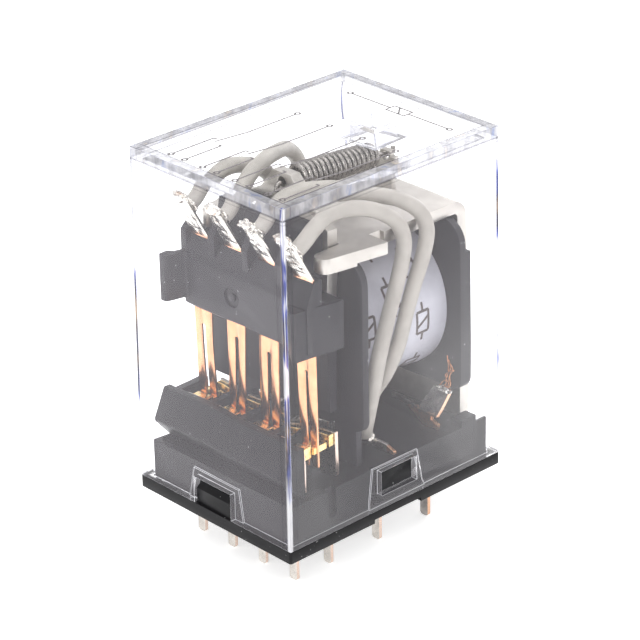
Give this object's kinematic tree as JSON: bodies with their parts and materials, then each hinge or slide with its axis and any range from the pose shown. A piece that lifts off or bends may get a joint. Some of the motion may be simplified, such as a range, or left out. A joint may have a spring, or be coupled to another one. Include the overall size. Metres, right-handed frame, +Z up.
{
  "type": "industrial control relay",
  "caption": "Miniature plug-in electromagnetic changeover relay with a clear cover, flat board pins, a hinged armature and leaf contact springs.",
  "frame": {"origin": "centre of the foot flange's underside, which is the seating plane on the board", "axes": "+Z up away from the board, +X from the contact end towards the coil's yoke end along the 28 mm side, +Y across the poles"},
  "size_m": [0.028, 0.0216, 0.0408],
  "materials": {
    "clear_cover": "clear moulded polycarbonate, polished",
    "black_base": "black moulded thermoset, satin",
    "black_plastic": "dark grey-black moulded plastic, satin",
    "tinned_copper": "tin plate with bare copper at the sheared edges",
    "coil_terminal_copper": "bare copper with tinned ends",
    "contact_gold": "gold plate on silver alloy",
    "spring_copper": "rolled beryllium copper",
    "solder": "bright solder",
    "nickel_iron": "nickel plate on soft iron, fine grain",
    "core_iron": "turned soft iron, plated",
    "enamelled_wire": "enamelled copper wire",
    "white_tape": "white polyester tape",
    "spring_steel": "drawn spring wire",
    "grey_sleeve": "grey insulated flexible wire"
  },
  "bodies": {
    "frame": {"cover": "clear_cover", "base": "black_base", "nc_terminal_1": "tinned_copper", "nc_terminal_2": "tinned_copper", "nc_terminal_3": "tinned_copper", "nc_terminal_4": "tinned_copper", "no_terminal_1": "tinned_copper", "no_terminal_2": "tinned_copper", "no_terminal_3": "tinned_copper", "no_terminal_4": "tinned_copper", "com_terminal_1": "tinned_copper", "com_terminal_2": "tinned_copper", "com_terminal_3": "tinned_copper", "com_terminal_4": "tinned_copper", "coil_terminal_1": "coil_terminal_copper", "coil_terminal_2": "coil_terminal_copper", "nc_contact_1": "contact_gold", "nc_contact_2": "contact_gold", "nc_contact_3": "contact_gold", "nc_contact_4": "contact_gold", "no_contact_1": "contact_gold", "no_contact_2": "contact_gold", "no_contact_3": "contact_gold", "no_contact_4": "contact_gold", "yoke": "nickel_iron", "core": "core_iron", "bobbin": "black_plastic", "winding": "enamelled_wire", "coil_tape": "white_tape", "return_spring": "spring_steel", "lead_wire_1": "grey_sleeve", "lead_wire_2": "grey_sleeve", "lead_wire_3": "grey_sleeve", "lead_wire_4": "grey_sleeve", "lug_solder_1": "solder", "lug_solder_2": "solder", "lug_solder_3": "solder", "lug_solder_4": "solder", "coil_lead_1": "enamelled_wire", "coil_lead_2": "enamelled_wire", "coil_solder_1": "solder", "coil_solder_2": "solder"},
    "armature_assembly": {"armature": "nickel_iron", "moving_block": "black_plastic", "contact_spring_1": "spring_copper", "contact_spring_2": "spring_copper", "contact_spring_3": "spring_copper", "contact_spring_4": "spring_copper", "moving_contact_1": "contact_gold", "moving_contact_2": "contact_gold", "moving_contact_3": "contact_gold", "moving_contact_4": "contact_gold", "tip_solder_1": "solder", "tip_solder_2": "solder", "tip_solder_3": "solder", "tip_solder_4": "solder"}
  },
  "joints": [
    {"name": "armature_hinge", "type": "hinge", "parent": "frame", "child": "armature_assembly", "pos_m": [-0.00305, 0, 0.02695], "axis": [0, -1, 0], "range_deg": [0, 1.8], "stiffness_Nm_per_rad": 0.05, "springref_deg": -2.29, "deforming": ["return_spring", "lead_wire_1", "lead_wire_2", "lead_wire_3", "lead_wire_4"]}
  ]
}
